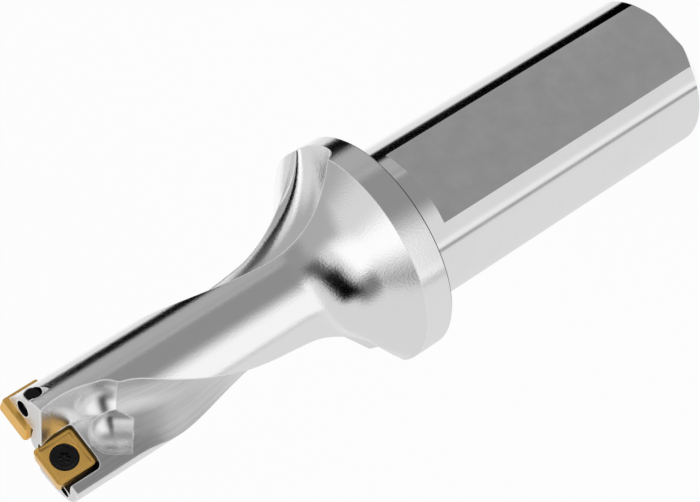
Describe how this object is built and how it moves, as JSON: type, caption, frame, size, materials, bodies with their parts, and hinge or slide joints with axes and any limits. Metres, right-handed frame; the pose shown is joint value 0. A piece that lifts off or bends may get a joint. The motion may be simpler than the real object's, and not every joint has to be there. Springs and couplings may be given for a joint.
{
  "type": "indexable drill",
  "caption": "Short twist drill body with a flanged flatted shank, a trumpet-shaped neck, twisted chip flutes and screwed square inserts at the tip.",
  "frame": {"origin": "centre of the shank end face, where the drill stands", "axes": "+Z along the drill axis from the shank end to the tip, +X out of the shank's clamping flat, +Y completes the right-handed frame"},
  "size_m": [0.0352, 0.0352, 0.1188],
  "materials": {
    "steel": "satin nickel plated steel, ground shank",
    "carbide": null,
    "screw_steel": "black oxide steel"
  },
  "bodies": {
    "root": {"drill_body": "steel", "inner_insert": "carbide", "outer_insert": "carbide", "inner_insert_screw": "screw_steel", "outer_insert_screw": "screw_steel"}
  },
  "joints": []
}
